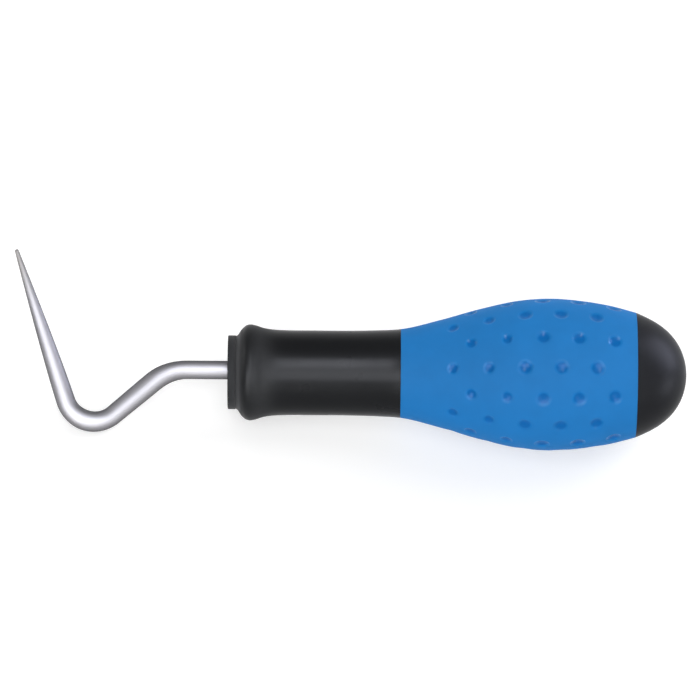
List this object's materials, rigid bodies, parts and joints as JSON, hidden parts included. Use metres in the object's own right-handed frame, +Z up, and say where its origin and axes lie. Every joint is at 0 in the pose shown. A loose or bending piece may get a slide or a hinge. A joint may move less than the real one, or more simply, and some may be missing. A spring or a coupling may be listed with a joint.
{
  "type": "hoof pick",
  "caption": "Hand tool with a bent round steel bar ending in a tapered hook, in a flanged, bulbous handle with a dimpled soft grip and a domed end.",
  "frame": {"origin": "centre of the tool's footprint box, on the surface that the tool lies on when it is put down on its side", "axes": "+X points to the butt end of the handle, with the handle's axis in the XZ plane and rising 5.5 degrees towards +X; the hook's point is on the +Y side; +Z is up from the surface"},
  "size_m": [0.1548, 0.0424, 0.035],
  "materials": {
    "rod_steel": "satin polished, plated",
    "core_polymer": "fine moulded, satin",
    "neck_polymer": "fine moulded, satin",
    "grip_elastomer": "soft matte with dimples",
    "cap_polymer": "smooth, half gloss"
  },
  "bodies": {
    "root": {"pick_rod": "rod_steel", "handle_core": "core_polymer", "neck_sleeve": "neck_polymer", "soft_grip": "grip_elastomer", "end_cap": "cap_polymer"}
  },
  "joints": []
}
